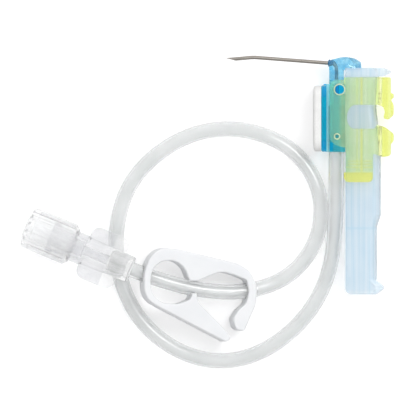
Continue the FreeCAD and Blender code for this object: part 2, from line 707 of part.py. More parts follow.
def luer_cap():
    """Ribbed cap with a moulded plug that fits the connector's tapered bore."""
    end = CAP_START + CAP_LENGTH
    floor_at = end - CAP_END_WALL
    inner_r = CAP_R - CAP_WALL
    bow = CAP_END_CORNER_R * (1 - math.sqrt(0.5))
    shell = turned([
        (CAP_START, inner_r + 0.2), (CAP_START, CAP_R - CAP_RIM_CORNER_R),
        (CAP_START + CAP_RIM_CORNER_R, CAP_R), (end - CAP_END_CORNER_R, CAP_R),
        (end - bow, CAP_R - bow), (end, CAP_R - CAP_END_CORNER_R),
        (end, 0), (floor_at, 0), (floor_at, inner_r), (CAP_START + 0.4, inner_r),
    ])
    rib_end = end - bow
    rib = box(CAP_START + CAP_RIM_CORNER_R, rib_end, -CAP_RIB_WIDTH / 2, CAP_RIB_WIDTH / 2,
              CAP_R - bow - 0.2, CAP_R + CAP_RIB_HEIGHT)
    rib_tops = [e for e in rib.Edges if e.BoundBox.ZMin > CAP_R and e.BoundBox.YLength > 0.1]
    rib = rib.makeChamfer(CAP_RIB_HEIGHT, rib_tops)
    ribs = []
    for i in range(CAP_RIBS):
        turned_rib = rib.copy()
        turned_rib.rotate(vector(0, 0, 0), vector(1, 0, 0), 360 * (i + 0.5) / CAP_RIBS)
        ribs.append(turned_rib)
    plug_tip = LUER_LENGTH - CAP_PLUG_REACH
    plug = turned([
        (plug_tip, CAP_PLUG_BORE_R), (plug_tip, luer_cone_r(plug_tip) - CAP_PLUG_GAP),
        (floor_at + 0.5, luer_cone_r(floor_at + 0.5) - CAP_PLUG_GAP), (floor_at + 0.5, 0),
        (floor_at, 0), (floor_at, CAP_PLUG_BORE_R),
    ])
    return place_on_tube_end(shell.multiFuse(ribs + [plug]).removeSplitter())


def build():
    points = route_points()
    radii = route_radii(points)
    path = path_of_arcs(points, radii)
    tube_room = rod_along(path, points, TUBE_R + TUBE_FIT)
    tube = rod_along(path, points, TUBE_R).cut(rod_along(path, points, TUBE_BORE_R))
    section = math.pi * (TUBE_R ** 2 - TUBE_BORE_R ** 2)
    print("tube radii", [round(r, 1) for r in radii])
    print("tube length", round(path.Length, 2), "volume over section times length",
          round(tube.Volume / (section * path.Length), 4))
    device = {
        "cannula": cannula(),
        "needle_hub": needle_hub(),
        "winged_base": winged_base(tube_room),
        "foam_pad": foam_pad(),
        "guard_bracket": guard_bracket(),
        "needle_guard": needle_guard(),
    }
    line = {
        "extension_tube": tube,
        "pinch_clamp": pinch_clamp(tube_room),
        "luer_connector": luer_connector(tube_room),
        "luer_cap": luer_cap(),
    }
    return device, line


def place_on_surface(device, line):
    """Puts the origin on the surface, under the middle of the device without its tube line."""
    boxes = [shape.optimalBoundingBox(False) for shape in device.values()]
    middle_x = (min(b.XMin for b in boxes) + max(b.XMax for b in boxes)) / 2
    middle_y = (min(b.YMin for b in boxes) + max(b.YMax for b in boxes)) / 2
    hinge = vector(-middle_x, -middle_y, -SURFACE_Z)
    print("hinge at", [round(v, 3) for v in hinge])
    for shape in [*device.values(), *line.values()]:
        shape.translate(hinge)


def main():
    os.makedirs("parts", exist_ok=True)
    device, line = build()
    place_on_surface(device, line)
    for node, shape in {**device, **line}.items():
        print(node, "solids", len(shape.Solids), "valid", shape.isValid(), "volume", round(shape.Volume, 2))
        shape.exportStep("parts/" + node + ".step")


main()
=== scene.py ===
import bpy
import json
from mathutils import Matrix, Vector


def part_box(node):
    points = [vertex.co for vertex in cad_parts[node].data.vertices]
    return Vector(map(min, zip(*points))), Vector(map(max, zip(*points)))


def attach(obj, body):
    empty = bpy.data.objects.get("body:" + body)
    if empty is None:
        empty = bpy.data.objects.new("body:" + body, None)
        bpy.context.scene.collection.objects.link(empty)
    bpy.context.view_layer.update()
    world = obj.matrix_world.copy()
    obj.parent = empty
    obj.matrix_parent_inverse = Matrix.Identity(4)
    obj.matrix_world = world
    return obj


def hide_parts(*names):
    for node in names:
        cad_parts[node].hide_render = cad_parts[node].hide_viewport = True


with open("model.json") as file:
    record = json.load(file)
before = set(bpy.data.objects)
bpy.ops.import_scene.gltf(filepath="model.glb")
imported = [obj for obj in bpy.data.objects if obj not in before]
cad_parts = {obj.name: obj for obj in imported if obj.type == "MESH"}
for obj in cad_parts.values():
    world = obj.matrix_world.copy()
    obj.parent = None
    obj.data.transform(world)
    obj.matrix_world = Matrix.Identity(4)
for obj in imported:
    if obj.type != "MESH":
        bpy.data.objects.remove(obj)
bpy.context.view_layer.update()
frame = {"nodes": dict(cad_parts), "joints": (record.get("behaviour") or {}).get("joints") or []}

import json
import math

import bpy
from mathutils import Matrix, Vector

MM = 0.001
NODES = frame["nodes"]
HINGE = Vector(next(j for j in frame["joints"] if j["name"] == "guard_swing")["pos_m"])
CAP_AXIS = Vector(next(j for j in frame["joints"] if j["name"] == "cap_pull")["axis"]).normalized()

# Where the photograph's frame lies on the object: straight above it, one pixel to 0.245 mm
FRAME_PIXELS = 416
PIXEL_SIZE = 0.245 * MM
HINGE_PIXEL_X = 339.5
HINGE_PIXEL_Y = 89.5
CAMERA_HEIGHT = 0.4

# White background: how far the floor lights itself up for the rays that show it
FLOOR_SIDE = 3
FLOOR_COLOUR = (0.66, 0.66, 0.665, 1)
FLOOR_GLOW = 0.48

# Surroundings: their light on dull faces, and its share low down for dull and for glossy faces
WORLD_LIGHT = 0.93
LOW_LIGHT = 0.58
LOW_GLOSS = 0.22

# Heights on a unit sphere between which that share rises to 1, and how much the far side counts as height
RISE = (-0.1, 0.75)
FAR_SIDE_GAIN = 0.35

# The patch right overhead: its share of the light and the heights between which it starts
OVERHEAD_SHADE = 0.3
OVERHEAD = (0.93, 0.985)

# Lamp above the far right corner
LAMP_PLACE = (0.16, 0.15, 0.5)
LAMP_AIM = (-0.02, -0.01, 0)
LAMP_SIZE = 0.22
LAMP_POWER = 1.0

# Extension tube: its route's control points about the hinge, in millimetres
TUBE_RADIUS = 1.9 * MM
TUBE_BORE_RADIUS = 0.9 * MM
LYING = -5.1
TUBE_ROUTE = [
    (-0.75, -4.0, 0.0),
    (-0.75, -18.5, 0.0),
    (-0.9, -33.0, -2.6),
    (-2.3, -45.4, -4.8),
    (-8.0, -56.0, LYING),
    (-18.0, -64.3, LYING),
    (-28.8, -67.1, LYING),
    (-39.3, -64.6, LYING),
    (-48.4, -57.7, LYING),
    (-53.9, -47.4, LYING),
    (-55.2, -34.9, LYING),
    (-51.8, -22.7, LYING),
    (-42.8, -13.8, LYING),
    (-31.7, -9.3, LYING),
    (-20.0, -10.1, LYING),
    (-9.8, -15.5, LYING),
    (-4.2, -25.4, LYING),
    (-4.9, -36.6, LYING),
    (-11.4, -45.6, LYING),
    (-21.4, -49.6, -3.9),
    (-33.0, -49.6, -1.1),
    (-46.4, -46.1, 1.5),
    (-56.5, -41.9, 0.35),
]

# Needle's exit from the hub, about the hinge, and its slope towards the tip
EXIT_POINT = (-2.57, 6.466, 0.0)
NEEDLE_SLOPE = math.radians(4.4)
NEEDLE_RADIUS = 0.45 * MM

# Glue round it: each step of its crown is an inset and a rise, in millimetres
GLUE_RADIUS = 0.93 * MM
GLUE_DEPTH = 1.1 * MM
GLUE_CROWN = ((0.15, 0.12), (0.15, 0.11), (0.14, 0.08))

# Where the tube is bonded into the sleeve and the connector, about the hinge: a point, the way and how far
SLEEVE_END = (-0.75, -15.2, 0.0)
SLEEVE_DEPTH = 11.3
SOCKET_DEPTH = 6.0
SOCKET_END = tuple(end - SOCKET_DEPTH * way for end, way in zip(TUBE_ROUTE[-1], CAP_AXIS))
BONDS = (
    (SLEEVE_END, (0.0, 1.0, 0.0), SLEEVE_DEPTH),
    (SOCKET_END, tuple(CAP_AXIS), SOCKET_DEPTH + 0.1),
)

# Share of the surfaces that doesn't show there, and the radii in millimetres between which that ends
BONDED_AWAY = 0.85
BOND_EDGE = (2.06, 2.14)

# Step in the guard's roof, where its wall shows as a line
GUARD_WAIST_Y = -34.0

# Ring on each ear of the bracket, over the base's nub, about the hinge
REST_RING = (-0.6, -11.5)

# Bands of another colour along the bracket: place in X, half the width, soft edge, strength and colour
BRACKET_BANDS = (
    (-1.6, 1.2, 1.1, 1.0, (0.58, 0.96, 0.82)),
    (1.9, 0.4, 0.4, 0.4, (0.58, 0.88, 0.62)),
    (4.3, 0.12, 0.1, 1.0, (0.90, 0.97, 0.55)),
    (9.9, 0.3, 0.2, 1.0, (0.95, 0.97, 0.72)),
    (12.6, 1.9, 0.5, 0.8, (0.88, 0.89, 0.33)),
    (12.3, 0.25, 0.2, 1.0, (0.90, 0.93, 0.66)),
)
TAB_RIBS = (-17.55, -18.3)
TAB_LAST_RIB = -19.05

# Thread inside the cap, along the luer's axis from the connector's tube end
THREAD_START = 17.2 * MM
THREAD_RADIUS = 4.07 * MM
THREAD_SECTION = 0.09 * MM
THREAD_PITCH = 2.2 * MM
THREAD_TURNS = 1.5

# Rims on the ears: the ears lie this far inside the bracket's lips
LIP_PROUD = 0.5 * MM
PIN_RIM_RADIUS = 1.27 * MM
REST_RIM_RADIUS = 0.66 * MM
REST_RING_LIFT = 0.3 * MM
RIM_THICKNESS = 0.1 * MM

# Foam pad: rounded like the wing plate that it backs
PAD_CORNER = 2.85 * MM
PAD_RIM = 0.7 * MM
PAD_RIM_STEPS = 5
PAD_CROWN = ((0.6, 0.09), (0.7, 0.05), (0.7, 0.02))


def from_hinge(x, y, z=0.0):
    """A point given in millimetres from the middle of the hinge axis, in the row frame."""
    return HINGE + Vector((x, y, z)) * MM


def activate(piece):
    bpy.ops.object.select_all(action="DESELECT")
    piece.select_set(True)
    bpy.context.view_layer.objects.active = piece


def apply_place(piece):
    """Moves the object's place, turn and scale into its mesh."""
    activate(piece)
    bpy.ops.object.transform_apply(location=True, rotation=True, scale=True)


def apply_modifiers(piece):
    activate(piece)
    for modifier in list(piece.modifiers):
        bpy.ops.object.modifier_apply(modifier=modifier.name)


def choose(piece, faces=None, edges=None):
    """In edit mode, selects the faces or edges for which the test holds."""
    bpy.ops.mesh.select_mode(type="FACE" if faces else "EDGE")
    bpy.ops.mesh.select_all(action="DESELECT")
    bpy.ops.object.mode_set(mode="OBJECT")
    mesh = piece.data
    if faces:
        for face in mesh.polygons:
            face.select = faces(face)
    else:
        for edge in mesh.edges:
            edge.select = edges(*(mesh.vertices[i].co for i in edge.vertices))
    bpy.ops.object.mode_set(mode="EDIT")


# Camera and light

def look_down():
    """Camera straight above the part, at the photograph's scale."""
    data = bpy.data.cameras.new("overhead_camera")
    data.type = "ORTHO"
    data.ortho_scale = FRAME_PIXELS * PIXEL_SIZE
    data.clip_start = 0.01
    data.clip_end = 10
    camera = bpy.data.objects.new("overhead_camera", data)
    bpy.context.scene.collection.objects.link(camera)
    middle = FRAME_PIXELS / 2
    aside = Vector((middle - HINGE_PIXEL_X, HINGE_PIXEL_Y - middle, 0)) * PIXEL_SIZE
    camera.location = Vector((HINGE.x, HINGE.y, CAMERA_HEIGHT)) + aside
    bpy.context.scene.camera = camera


def key_lamp():
    """One broad lamp, which clear pieces don't show as a bright spot behind them."""
    data = bpy.data.lights.new("key_lamp", "AREA")
    data.shape = "DISK"
    data.size = LAMP_SIZE
    data.energy = LAMP_POWER
    lamp = bpy.data.objects.new("key_lamp", data)
    bpy.context.scene.collection.objects.link(lamp)
    lamp.location = LAMP_PLACE
    lamp.visible_transmission = False
    lamp.rotation_euler = (Vector(LAMP_AIM) - lamp.location).to_track_quat("-Z", "Y").to_euler()


def give(links, value, socket):
    """Links an output to the socket, or writes a plain value into it."""
    if isinstance(value, bpy.types.NodeSocket):
        links.new(value, socket)
    else:
        socket.default_value = value


def operate(nodes, links, kind, operation, values):
    node = nodes.new(kind)
    node.operation = operation
    for socket, value in zip(node.inputs, values):
        give(links, value, socket)
    return node.outputs


def combine(nodes, links, operation, *values):
    return operate(nodes, links, "ShaderNodeMath", operation, values)[0]


def soft_step(nodes, links, value, from_low, from_high, to_low, to_high):
    node = nodes.new("ShaderNodeMapRange")
    node.interpolation_type = "SMOOTHSTEP"
    node.inputs["From Min"].default_value = from_low
    node.inputs["From Max"].default_value = from_high
    node.inputs["To Min"].default_value = to_low
    node.inputs["To Max"].default_value = to_high
    links.new(value, node.inputs["Value"])
    return node.outputs["Result"]


def studio_world():
    """Pale surroundings, darker low down, on the near side and right overhead, where the camera hangs."""
    world = bpy.data.worlds.new("studio")
    bpy.context.scene.world = world
    world.use_nodes = True
    nodes, links = world.node_tree.nodes, world.node_tree.links
    background = nodes["Background"]
    background.inputs["Color"].default_value = (1, 1, 1, 1)
    where = nodes.new("ShaderNodeTexCoord")
    parts = nodes.new("ShaderNodeSeparateXYZ")
    links.new(where.outputs["Generated"], parts.inputs[0])
    height = combine(nodes, links, "MULTIPLY_ADD", parts.outputs["Y"], FAR_SIDE_GAIN, parts.outputs["Z"])
    rising = soft_step(nodes, links, height, *RISE, 0.0, 1.0)
    overhead = soft_step(nodes, links, parts.outputs["Z"], *OVERHEAD, 1.0, OVERHEAD_SHADE)
    path = nodes.new("ShaderNodeLightPath").outputs
    low = combine(nodes, links, "MULTIPLY_ADD", path["Is Glossy Ray"], LOW_GLOSS - LOW_LIGHT, LOW_LIGHT)
    above_low = combine(nodes, links, "MULTIPLY", rising, combine(nodes, links, "SUBTRACT", 1.0, low))
    shade = combine(nodes, links, "ADD", low, above_low)
    shaded = combine(nodes, links, "MULTIPLY", shade, overhead)
    backdrop = combine(nodes, links, "MAXIMUM", shaded, path["Is Camera Ray"])
    shown = combine(nodes, links, "MAXIMUM", path["Is Camera Ray"], path["Is Glossy Ray"])
    shown = combine(nodes, links, "MAXIMUM", shown, path["Is Transmission Ray"])
    strength = combine(nodes, links, "MULTIPLY_ADD", shown, 1.0 - WORLD_LIGHT, WORLD_LIGHT)
    links.new(combine(nodes, links, "MULTIPLY", backdrop, strength), background.inputs["Strength"])


def pale_floor():
    """Floor that keeps the part's shadow and glows for the rays that show it as the background."""
    bpy.ops.object.select_all(action="DESELECT")
    bpy.ops.mesh.primitive_plane_add(size=FLOOR_SIDE, location=(0, 0, 0))
    floor = bpy.context.object
    floor.name = "floor"
    material = bpy.data.materials.new("pale_floor")
    material.use_nodes = True
    nodes, links = material.node_tree.nodes, material.node_tree.links
    shader = nodes["Principled BSDF"]
    shader.inputs["Base Color"].default_value = FLOOR_COLOUR
    shader.inputs["Roughness"].default_value = 1.0
    shader.inputs["Specular IOR Level"].default_value = 0.0
    shader.inputs["Emission Color"].default_value = (1, 1, 1, 1)
    path = nodes.new("ShaderNodeLightPath").outputs
    shown = combine(nodes, links, "MAXIMUM", path["Is Camera Ray"], path["Is Glossy Ray"])
    shown = combine(nodes, links, "MAXIMUM", shown, path["Is Transmission Ray"])
    links.new(combine(nodes, links, "MULTIPLY", shown, FLOOR_GLOW), shader.inputs["Emission Strength"])
    floor.data.materials.append(material)


# Shared effects

def new_group(name, inputs, outputs):
    """An empty node group with the named sockets, its nodes, its links and its two ends."""
    group = bpy.data.node_groups.new(name, "ShaderNodeTree")
    for label, kind, value in inputs:
        socket = group.interface.new_socket(label, in_out="INPUT", socket_type="NodeSocket" + kind)
        if value is not None:
            socket.default_value = value
    for label, kind in outputs:
        group.interface.new_socket(label, in_out="OUTPUT", socket_type="NodeSocket" + kind)
    nodes = group.nodes
    return group, nodes, group.links, nodes.new("NodeGroupInput"), nodes.new("NodeGroupOutput")


def clouding_group():
    """Slow milky drift between two colours."""
    group, nodes, links, given, out = new_group(
        "clouding",
        [("Vector", "Vector", None), ("Scale", "Float", 0.3), ("Contrast", "Float", 1.0),
         ("Colour A", "Color", (1, 1, 1, 1)), ("Colour B", "Color", (0.9, 0.9, 0.9, 1))],
        [("Color", "Color")])
    noise = nodes.new("ShaderNodeTexNoise")
    noise.inputs["Detail"].default_value = 3
    noise.inputs["Roughness"].default_value = 0.45
    links.new(given.outputs["Vector"], noise.inputs["Vector"])
    links.new(given.outputs["Scale"], noise.inputs["Scale"])
    centred = combine(nodes, links, "SUBTRACT", noise.outputs["Fac"], 0.5)
    gain = combine(nodes, links, "MULTIPLY", given.outputs["Contrast"], 3.0)
    spread = combine(nodes, links, "MULTIPLY_ADD", centred, gain, 0.5)
    spread.node.use_clamp = True
    mix = nodes.new("ShaderNodeMix")
    mix.data_type = "RGBA"
    links.new(spread, mix.inputs["Factor"])
    links.new(given.outputs["Colour A"], mix.inputs["A"])
    links.new(given.outputs["Colour B"], mix.inputs["B"])
    links.new(mix.outputs["Result"], out.inputs["Color"])
    return group


def mould_skin_group():
    """Fine spark eroded grain of a moulded face, with a roughness that varies with it."""
    group, nodes, links, given, out = new_group(
        "mould_skin",
        [("Vector", "Vector", None), ("Grain", "Float", 4.0), ("Roughness", "Float", 0.3),
         ("Variation", "Float", 0.1)],
        [("Height", "Float"), ("Roughness", "Float")])
    fine = nodes.new("ShaderNodeTexNoise")
    fine.inputs["Detail"].default_value = 2
    links.new(given.outputs["Vector"], fine.inputs["Vector"])
    links.new(given.outputs["Grain"], fine.inputs["Scale"])
    broad = nodes.new("ShaderNodeTexNoise")
    broad.inputs["Scale"].default_value = 0.6
    broad.inputs["Detail"].default_value = 3
    links.new(given.outputs["Vector"], broad.inputs["Vector"])
    both = combine(nodes, links, "MULTIPLY_ADD", fine.outputs["Fac"], 0.35, broad.outputs["Fac"])
    centred = combine(nodes, links, "SUBTRACT", broad.outputs["Fac"], 0.5)
    rough = combine(nodes, links, "MULTIPLY_ADD", centred, given.outputs["Variation"],
                    given.outputs["Roughness"])
    rough.node.use_clamp = True
    links.new(both, out.inputs["Height"])
    links.new(rough, out.inputs["Roughness"])
    return group


def drag_lines_group():
    """Fine lines along one direction, as a die or a mould's slide leaves them."""
    group, nodes, links, given, out = new_group(
        "drag_lines",
        [("Vector", "Vector", None), ("Stretch", "Vector", (1, 1, 1)), ("Fineness", "Float", 1.0)],
        [("Lines", "Float")])
    stretched = operate(nodes, links, "ShaderNodeVectorMath", "MULTIPLY",
                        (given.outputs["Vector"], given.outputs["Stretch"]))["Vector"]
    noise = nodes.new("ShaderNodeTexNoise")
    noise.inputs["Detail"].default_value = 4
    noise.inputs["Roughness"].default_value = 0.6
    links.new(stretched, noise.inputs["Vector"])
    links.new(given.outputs["Fineness"], noise.inputs["Scale"])
    links.new(noise.outputs["Fac"], out.inputs["Lines"])
    return group


def band_group():
    """1 inside a band across one direction, falling off softly at its two edges."""
    group, nodes, links, given, out = new_group(
        "band",
        [("Position", "Float", 0.0), ("Middle", "Float", 0.0), ("Half Width", "Float", 1.0),
         ("Softness", "Float", 0.2)],
        [("Mask", "Float")])
    away = combine(nodes, links, "SUBTRACT", given.outputs["Position"], given.outputs["Middle"])
    away = combine(nodes, links, "ABSOLUTE", away)
    edge = combine(nodes, links, "ADD", given.outputs["Half Width"], given.outputs["Softness"])
    mask = nodes.new("ShaderNodeMapRange")
    mask.interpolation_type = "SMOOTHSTEP"
    mask.inputs["To Min"].default_value = 1.0
    mask.inputs["To Max"].default_value = 0.0
    links.new(away, mask.inputs["Value"])
    links.new(given.outputs["Half Width"], mask.inputs["From Min"])
    links.new(edge, mask.inputs["From Max"])
    links.new(mask.outputs["Result"], out.inputs["Mask"])
    return group


# Materials

class Finish:
    """A material with its shader, and object coordinates in millimetres about the hinge."""

    def __init__(self, name, **sockets):
        self.material = bpy.data.materials.new(name)
        self.material.use_nodes = True
        self.nodes, self.links = self.material.node_tree.nodes, self.material.node_tree.links
        self.shader = self.nodes["Principled BSDF"]
        for label, value in sockets.items():
            self.shader.inputs[label.replace("_", " ")].default_value = value
        where = self.nodes.new("ShaderNodeTexCoord")
        place = self.nodes.new("ShaderNodeMapping")
        place.inputs["Scale"].default_value = (1 / MM,) * 3
        place.inputs["Location"].default_value = -HINGE / MM
        self.links.new(where.outputs["Object"], place.inputs["Vector"])
        self.where = place.outputs["Vector"]

    def group(self, tree, **values):
        node = self.nodes.new("ShaderNodeGroup")
        node.node_tree = tree
        for label, value in values.items():
            give(self.links, value, node.inputs[label.replace("_", " ")])
        return node.outputs

    def axis(self, name):
        parts = self.nodes.new("ShaderNodeSeparateXYZ")
        self.links.new(self.where, parts.inputs[0])
        return parts.outputs[name]

    def math(self, operation, *values):
        return combine(self.nodes, self.links, operation, *values)

    def strongest(self, *masks):
        """The greatest of any number of masks."""
        most = masks[0]
        for mask in masks[1:]:
            most = self.math("MAXIMUM", most, mask)
        return most

    def share(self, mask, part):
        """A mask at this part of its strength."""
        return self.math("MULTIPLY", mask, part)

    def blend(self, factor, first, second):
        node = self.nodes.new("ShaderNodeMix")
        node.data_type = "RGBA"
        for label, value in (("Factor", factor), ("A", first), ("B", second)):
            give(self.links, value, node.inputs[label])
        return node.outputs["Result"]

    def stripe(self, colour, middle, half_width, softness, strength, tint):
        """The colour with a band of another across X."""
        mask = self.share(self.along("X", middle, half_width, softness), strength)
        return self.blend(mask, colour, (*tint, 1))

    def soft_step(self, value, low, high):
        return soft_step(self.nodes, self.links, value, low, high, 0.0, 1.0)

    def feed(self, label, output):
        self.links.new(output, self.shader.inputs[label])

    def bump(self, height, strength, distance):
        node = self.nodes.new("ShaderNodeBump")
        node.inputs["Strength"].default_value = strength
        node.inputs["Distance"].default_value = distance
        self.links.new(height, node.inputs["Height"])
        self.feed("Normal", node.outputs["Normal"])

    def pass_light(self, share, unseen=0.0):
        """Lets a share of the light through, where a clear piece's shadow would be black.

        Unseen is the share of its surface that doesn't show, as where it is bonded in."""
        path = self.nodes.new("ShaderNodeLightPath").outputs
        gone = self.strongest(self.share(path["Is Shadow Ray"], share), unseen)
        self.feed("Alpha", self.math("SUBTRACT", 1.0, gone))

    def along(self, name, middle, half_width, softness):
        """1 inside a band across one axis, in millimetres from the hinge."""
        return self.group(BAND, Position=self.axis(name), Middle=middle, Half_Width=half_width,
                          Softness=softness)["Mask"]

    def vector_math(self, operation, *values):
        return operate(self.nodes, self.links, "ShaderNodeVectorMath", operation, values)

    def about(self, point, way):
        """Distance from a line and distance along it, in millimetres."""
        away = self.vector_math("SUBTRACT", self.where, point)["Vector"]
        crossed = self.vector_math("CROSS_PRODUCT", away, way)["Vector"]
        along = self.vector_math("DOT_PRODUCT", away, way)["Value"]
        return self.vector_math("LENGTH", crossed)["Value"], along

    def band(self, position, low, high, softness=0.08):
        """1 between two values of the position."""
        return self.group(BAND, Position=position, Middle=(low + high) / 2, Half_Width=(high - low) / 2,
                          Softness=softness)["Mask"]

    def near(self, x, y, inner, outer):
        """1 between two radii about an upright axis, in millimetres from the hinge."""
        return self.band(self.about((x, y, 0.0), (0.0, 0.0, 1.0))[0], inner, outer)

    def bonded(self):
        """1 where the tube and what holds it are welded together, so that their faces no longer show."""
        masks = []
        for point, way, length in BONDS:
            aside, along = self.about(point, way)
            inside = self.math("SUBTRACT", 1.0, self.soft_step(aside, *BOND_EDGE))
            masks.append(self.math("MULTIPLY", inside, self.band(along, -0.05, length)))
        return self.share(self.strongest(*masks), BONDED_AWAY)

    def absorb(self, colour, density):
        """Colour that deepens with the thickness that light goes through."""
        volume = self.nodes.new("ShaderNodeVolumeAbsorption")
        volume.inputs["Color"].default_value = (*colour, 1)
        volume.inputs["Density"].default_value = density
        self.links.new(volume.outputs["Volume"], self.nodes["Material Output"].inputs["Volume"])


def moulded(name, colours, rough, grain=4.0, cloud=0.35, contrast=1.0, variation=0.1, bump=0.08, **sockets):
    """Moulded plastic: slow clouding of its colour over a fine grain."""
    finish = Finish(name, **sockets)
    cloudy = finish.group(CLOUDING, Vector=finish.where, Scale=cloud, Contrast=contrast,
                          Colour_A=(*colours[0], 1), Colour_B=(*colours[1], 1))
    skin = finish.group(MOULD_SKIN, Vector=finish.where, Grain=grain, Roughness=rough, Variation=variation)
    finish.colour = cloudy["Color"]
    finish.feed("Base Color", finish.colour)
    finish.feed("Roughness", skin["Roughness"])
    finish.height = skin["Height"]
    finish.bump(finish.height, bump, 0.02 * MM)
    return finish


def drawn_steel():
    """Needle tube: drawing lines along it, a little warm, duller where the bend was formed."""
    finish = Finish("drawn_steel", Metallic=1.0, IOR=2.5)
    lines = finish.group(DRAG_LINES, Vector=finish.where, Stretch=(0.05, 2.2, 2.2), Fineness=3.0)["Lines"]
    finish.feed("Base Color", finish.blend(lines, (0.25, 0.225, 0.20, 1), (0.44, 0.41, 0.375, 1)))
    bend = finish.along("X", -21.5, 1.2, 1.5)
    rough = finish.math("MULTIPLY_ADD", lines, 0.22, 0.2)
    finish.feed("Roughness", finish.math("MULTIPLY_ADD", bend, 0.08, rough))
    finish.bump(lines, 0.25, 0.02 * MM)
    return finish.material


def hub_plastic():
    """Clear light blue, deeper along the needle's side of the hub."""
    finish = moulded("clear_blue", [(0.55, 0.80, 0.89), (0.27, 0.60, 0.81)], 0.06,
                     cloud=0.8, contrast=2.2, bump=0.04,
                     Transmission_Weight=0.86, IOR=1.3, Coat_Weight=0.4, Coat_Roughness=0.05)
    finish.feed("Base Color", finish.stripe(finish.colour, -2.4, 0.5, 0.7, 0.6, (0.16, 0.60, 0.84)))
    finish.absorb((0.0, 0.76, 0.98), 85)
    finish.pass_light(0.8)
    return finish.material


def base_plastic():
    """Blue: deep in the wing plate and the pin, clearer in the sleeve between them, with a pale band of
    painted highlight beside the wing plate.
    """
    finish = moulded("deep_blue", [(0.11, 0.72, 0.83), (0.06, 0.63, 0.77)], 0.12, cloud=0.5, bump=0.04,
                     Transmission_Weight=0.9, IOR=1.14, Coat_Weight=0.5, Coat_Roughness=0.08)
    # Pale band at X = -2.9 beside the wing plate: painted highlight
    colour = finish.stripe(finish.colour, -2.9, 0.35, 0.15, 1.0, (0.55, 0.88, 0.93))
    wing = finish.along("X", -4.0, 0.75, 0.1)
    foot = finish.math("MULTIPLY", finish.along("X", -2.0, 0.35, 0.15), finish.along("Y", -14.0, 0.9, 0.3))
    pin = finish.near(0, 0, 0.0, 1.06)
    deep = finish.strongest(wing, foot, pin)
    finish.feed("Base Color", finish.blend(deep, colour, (0.0, 0.57, 0.95, 1)))
    finish.absorb((0.0, 0.86, 0.95), 80)
    finish.pass_light(0.75, finish.bonded())
    return finish.material


def bracket_plastic():
    """Clear yellow green, strongest in its spine, its lip, its ribs and the ridge down its middle, with
    pale rings of painted highlight round the pin's hole and the rest ring.
    """
    finish = moulded("clear_yellow", [(0.88, 0.98, 0.72), (0.82, 0.95, 0.63)], 0.1, cloud=0.5, bump=0.04,
                     Transmission_Weight=0.86, IOR=1.26, Coat_Weight=0.5, Coat_Roughness=0.08)
    lines = finish.group(DRAG_LINES, Vector=finish.where, Stretch=(1.0, 0.02, 1.0), Fineness=1.9)["Lines"]
    streaks = finish.share(finish.soft_step(lines, 0.5, 0.62), 0.8)
    colour = finish.blend(streaks, finish.colour, (0.94, 0.98, 0.86, 1))
    cross = finish.group(DRAG_LINES, Vector=finish.where, Stretch=(0.02, 1.0, 1.0), Fineness=1.7)["Lines"]
    cross_streaks = finish.share(finish.soft_step(cross, 0.54, 0.64), 0.6)
    colour = finish.blend(cross_streaks, colour, (0.95, 0.98, 0.72, 1))
    for band in BRACKET_BANDS:
        colour = finish.stripe(colour, *band)
    lip = finish.along("Y", -22.0, 1.6, 0.2)
    ridge = finish.share(finish.along("X", 5.4, 0.22, 0.1), 0.75)
    short_ribs = finish.strongest(*(finish.along("Y", y, 0.1, 0.08) for y in TAB_RIBS))
    short_ribs = finish.math("MULTIPLY", finish.along("X", 5.0, 2.6, 0.6), short_ribs)
    ribs = finish.share(finish.strongest(short_ribs, finish.along("Y", TAB_LAST_RIB, 0.1, 0.08)), 0.7)
    strong = finish.strongest(lip, ridge, ribs)
    colour = finish.blend(strong, colour, (1.0, 0.98, 0.42, 1))
    # Pale rings round the pin's hole and over the rest ring: painted highlight on their edges
    rims = finish.strongest(finish.near(0, 0, 1.1, 1.5), finish.near(*REST_RING, 0.3, 0.86))
    finish.feed("Base Color", finish.blend(rims, colour, (0.97, 1.0, 0.80, 1)))
    finish.absorb((0.94, 0.975, 0.0), 42)
    finish.pass_light(0.8)
    return finish.material


def guard_plastic():
    """Milky blue, with faint flow streaks along the channel."""
    finish = moulded("milky_blue", [(0.83, 0.905, 0.955), (0.78, 0.87, 0.935)], 0.16, cloud=0.2, bump=0.03,
                     Transmission_Weight=0.7, IOR=1.22, Coat_Weight=0.4, Coat_Roughness=0.15)
    lines = finish.group(DRAG_LINES, Vector=finish.where, Stretch=(1.0, 0.015, 1.0), Fineness=1.3)["Lines"]
    deep = finish.share(finish.soft_step(lines, 0.5, 0.34), 0.6)
    pale = finish.share(finish.soft_step(lines, 0.5, 0.68), 0.6)
    colour = finish.blend(deep, finish.colour, (0.60, 0.78, 0.88, 1))
    colour = finish.blend(pale, colour, (0.93, 0.96, 0.98, 1))
    waist = finish.share(finish.along("Y", GUARD_WAIST_Y, 0.22, 0.15), 0.4)
    finish.feed("Base Color", finish.blend(waist, colour, (0.62, 0.80, 0.90, 1)))
    finish.pass_light(0.7)
    return finish.material


def tube_vinyl():
    """Milky clear vinyl."""
    finish = moulded("clear_vinyl", [(0.905, 0.915, 0.915), (0.85, 0.865, 0.863)], 0.14,
                     cloud=0.15, bump=0.04,
                     Transmission_Weight=0.72, IOR=1.36, Coat_Weight=0.5, Coat_Roughness=0.1)
    finish.pass_light(0.75, finish.bonded())
    return finish.material


def clamp_plastic():
    """White polymer with a satin moulded skin, which lets a little light into its edges."""
    finish = moulded("white_polymer", [(0.82, 0.83, 0.845), (0.78, 0.79, 0.81)], 0.42,
                     grain=5.0, cloud=0.12, bump=0.12, variation=0.16,
                     Subsurface_Weight=0.5, Subsurface_Radius=(1, 1, 1), Subsurface_Scale=1.5 * MM)
    return finish.material


